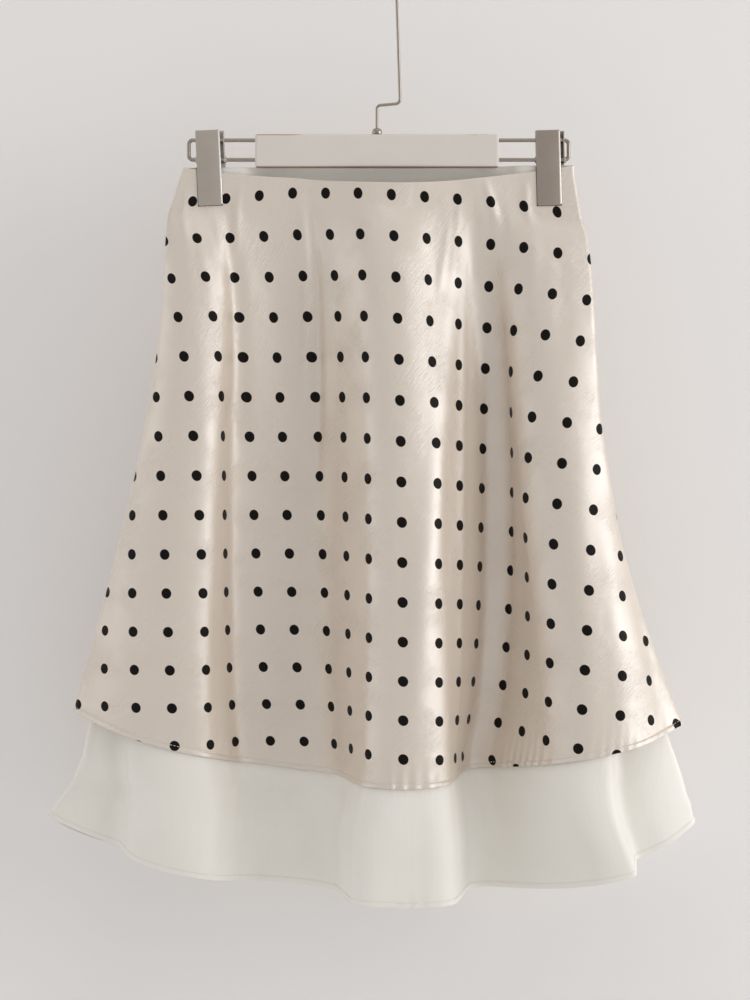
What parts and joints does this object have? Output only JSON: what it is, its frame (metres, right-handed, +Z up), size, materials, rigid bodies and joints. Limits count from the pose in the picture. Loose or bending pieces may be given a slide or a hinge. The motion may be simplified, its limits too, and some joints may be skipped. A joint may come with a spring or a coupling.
{
  "type": "a-line midi skirt on a clip hanger",
  "caption": "A-line midi skirt of dotted satin over a longer plain underskirt, pinched flat at the waist by the clips of a wooden bar hanger with a wire hook.",
  "frame": {"origin": "top of the inside of the hanger's hook, where it rests on a rail", "axes": "+Z up along the hang, +X to the right across the hanger as seen from the skirt's front, and the front faces -Y"},
  "size_m": [0.5684, 0.1617, 0.8113],
  "materials": {
    "satin": "ivory satin with black polka dots, soft sheen",
    "plain_cloth": "matte off-white plain weave",
    "white_paint": "warm white paint, worn to the wood along its edges",
    "steel_wire": "plated steel wire",
    "brushed_nickel": "brushed nickel plate"
  },
  "bodies": {
    "root": {"satin_front": "satin", "satin_back": "satin", "under_front": "plain_cloth", "under_back": "plain_cloth", "hanger_bar": "white_paint", "rod_loop_left": "steel_wire", "rod_loop_right": "steel_wire", "clip_left": "brushed_nickel", "clip_right": "brushed_nickel", "nut": "steel_wire", "hook": "steel_wire"}
  },
  "joints": []
}
